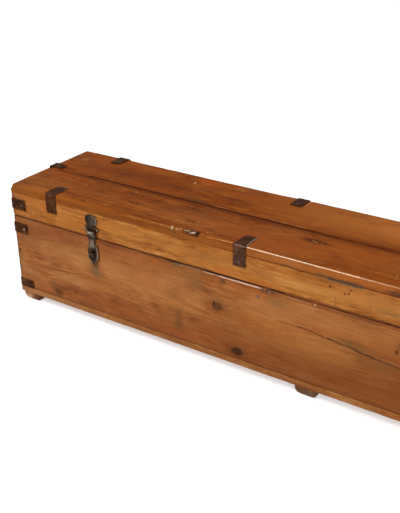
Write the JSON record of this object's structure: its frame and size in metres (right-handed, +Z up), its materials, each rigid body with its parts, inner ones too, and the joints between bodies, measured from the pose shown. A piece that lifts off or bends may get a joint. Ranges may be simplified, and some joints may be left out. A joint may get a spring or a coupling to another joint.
{
  "type": "storage chest",
  "caption": "Long low wooden storage chest with a rear-hinged plank lid, iron corner and edge straps, front hasps over eye staples, and cross bearers underneath.",
  "frame": {"origin": "centre of the chest's footprint, on the floor", "axes": "+X along the length, to the right seen from the front; +Y from front to back; +Z up"},
  "size_m": [1.6212, 0.3835, 0.3896],
  "materials": {
    "body_wood": "old waxed hardwood, honey brown, worn edges",
    "rail_wood": "old waxed hardwood, lighter orange brown",
    "top_wood": "old waxed hardwood, darker red brown with a soft sheen",
    "bearer_wood": "worn bare hardwood",
    "inner_wood": "dry unwaxed hardwood",
    "strap_iron": "dark brown forged iron with a light rust bloom",
    "hasp_iron": "dark grey-brown cast metal with bright worn edges",
    "nail_iron": "dark iron nail heads"
  },
  "bodies": {
    "chest": {"bottom_board": "body_wood", "front_board": "body_wood", "back_board": "body_wood", "left_end_board": "body_wood", "right_end_board": "body_wood", "left_bearer": "bearer_wood", "middle_bearer": "bearer_wood", "right_bearer": "bearer_wood", "upper_strap_front_left": "strap_iron", "upper_strap_front_right": "strap_iron", "upper_strap_back_left": "strap_iron", "upper_strap_back_right": "strap_iron", "lower_strap_front_left": "strap_iron", "lower_strap_front_right": "strap_iron", "lower_strap_back_left": "strap_iron", "lower_strap_back_right": "strap_iron", "hinge_body_leaf_left": "strap_iron", "hinge_body_leaf_middle": "strap_iron", "hinge_body_leaf_right": "strap_iron", "hinge_pin_left": "strap_iron", "hinge_pin_middle": "strap_iron", "hinge_pin_right": "strap_iron", "staple_left": "hasp_iron", "staple_right": "hasp_iron", "body_strap_nails": "nail_iron", "body_board_nails": "nail_iron", "bottom_board_nails": "nail_iron", "bearer_nails": "nail_iron"},
    "lid": {"top_front_plank": "top_wood", "top_back_plank": "top_wood", "lid_front_rail": "rail_wood", "lid_back_rail": "rail_wood", "lid_left_end": "rail_wood", "lid_right_end": "rail_wood", "lid_batten_left": "inner_wood", "lid_batten_right": "inner_wood", "front_strap_left": "strap_iron", "front_strap_middle": "strap_iron", "front_strap_right": "strap_iron", "side_strap_left": "strap_iron", "side_strap_right": "strap_iron", "lid_corner_strap_front_left": "strap_iron", "lid_corner_strap_front_right": "strap_iron", "lid_corner_strap_back_left": "strap_iron", "lid_corner_strap_back_right": "strap_iron", "hinge_lid_leaf_left": "strap_iron", "hinge_lid_leaf_middle": "strap_iron", "hinge_lid_leaf_right": "strap_iron", "hasp_plate_left": "hasp_iron", "hasp_plate_right": "hasp_iron", "hasp_pin_left": "hasp_iron", "hasp_pin_right": "hasp_iron", "lid_strap_nails": "nail_iron", "lid_board_nails": "nail_iron"},
    "hasp_left": {"hasp_leaf_left": "hasp_iron"},
    "hasp_right": {"hasp_leaf_right": "hasp_iron"}
  },
  "joints": [
    {"name": "lid_hinge", "type": "hinge", "parent": "chest", "child": "lid", "pos_m": [0, 0.1813, 0.285], "axis": [-1, 0, 0], "range_deg": [0, 105]},
    {"name": "hasp_left_hinge", "type": "hinge", "parent": "lid", "child": "hasp_left", "pos_m": [-0.493, -0.182, 0.302], "axis": [-1, 0, 0], "range_deg": [0, 165]},
    {"name": "hasp_right_hinge", "type": "hinge", "parent": "lid", "child": "hasp_right", "pos_m": [0.493, -0.182, 0.302], "axis": [-1, 0, 0], "range_deg": [0, 165]}
  ]
}
